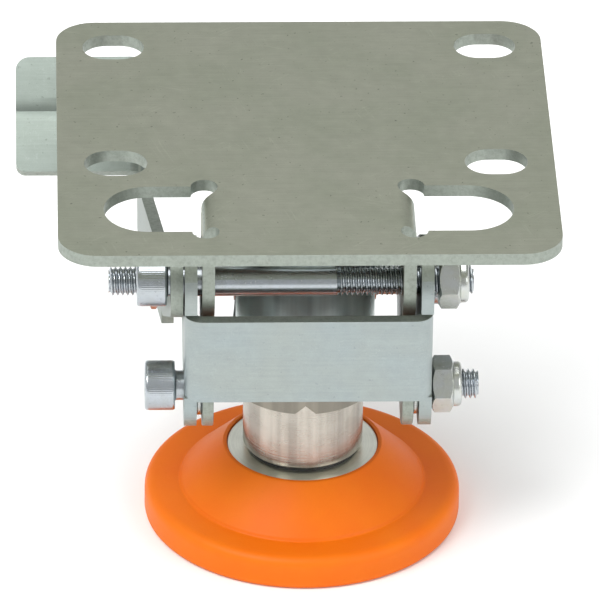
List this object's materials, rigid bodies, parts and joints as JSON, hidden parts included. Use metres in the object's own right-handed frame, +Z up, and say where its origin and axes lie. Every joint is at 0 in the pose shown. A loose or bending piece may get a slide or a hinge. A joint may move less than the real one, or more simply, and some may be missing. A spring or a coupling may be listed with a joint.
{
  "type": "floor lock",
  "caption": "Foot-operated floor lock: slotted steel top plate, side pedal lever and a sprung plunger with a swivelling round soft foot.",
  "frame": {"origin": "centre of the four-slot mounting pattern, on the plate's top face", "axes": "+Z up and out of the top plate, +X to the right seen from the bracket's web, +Y from the web towards the pedal"},
  "size_m": [0.1084, 0.1203, 0.0803],
  "materials": {
    "plate_zinc": "dull galvanised, fine rolling streaks and scratches",
    "bracket_zinc": "satin zinc plating, slightly blotchy",
    "lever_zinc": "satin zinc plating",
    "blue_zinc": "bright blue zinc plating",
    "nut_zinc": "clear zinc plating with a yellow tint",
    "nylon": "natural nylon",
    "dark_steel": "drawn tube, dark satin",
    "brushed_plunger": "turned and brushed bright steel",
    "turned_steel": "turned steel, dull",
    "spring_steel": "oiled spring wire",
    "black_washer": "black, matt",
    "orange_pad": "moulded polyurethane, satin"
  },
  "bodies": {
    "base": {"top_plate": "plate_zinc", "guide_tube": "dark_steel", "pivot_screw": "blue_zinc", "pivot_nut": "nut_zinc", "pivot_nut_insert": "nylon"},
    "carriage": {"u_bracket": "bracket_zinc", "left_cheek": "bracket_zinc", "right_cheek": "bracket_zinc", "cheek_washers": "nut_zinc", "lower_screw": "blue_zinc", "lower_nut": "nut_zinc", "lower_nut_insert": "nylon", "cross_sleeve": "dark_steel", "cross_screw": "blue_zinc", "cross_nut": "nut_zinc", "cross_nut_insert": "nylon", "spring_seat": "turned_steel", "plunger_spring": "spring_steel"},
    "plunger": {"plunger": "brushed_plunger", "foot_screw": "blue_zinc"},
    "foot": {"slip_washer": "black_washer", "foot_core": "turned_steel", "foot_pad": "orange_pad"},
    "lever": {"pedal_lever": "lever_zinc"}
  },
  "joints": [
    {"name": "pedal_press", "type": "hinge", "parent": "base", "child": "lever", "pos_m": [0, -0.04465, -0.0155], "axis": [-1, 0, 0], "range_deg": [0, 13.38]},
    {"name": "carriage_drop", "type": "slide", "parent": "base", "child": "carriage", "axis": [0, 0, -1], "range_m": [0, 0.00701]},
    {"name": "plunger_spring_travel", "type": "slide", "parent": "carriage", "child": "plunger", "axis": [0, 0, 1], "range_m": [0, 0.005], "stiffness_N_per_m": 7450, "springref_m": -0.008, "deforming": ["plunger_spring"]},
    {"name": "foot_swivel", "type": "hinge", "parent": "plunger", "child": "foot", "pos_m": [0, -0.02565, -0.07], "axis": [0, 0, 1], "continuous": true}
  ],
  "couplings": [
    {"joint": "carriage_drop", "follows": "pedal_press", "m_per_rad": 0.029968}
  ]
}
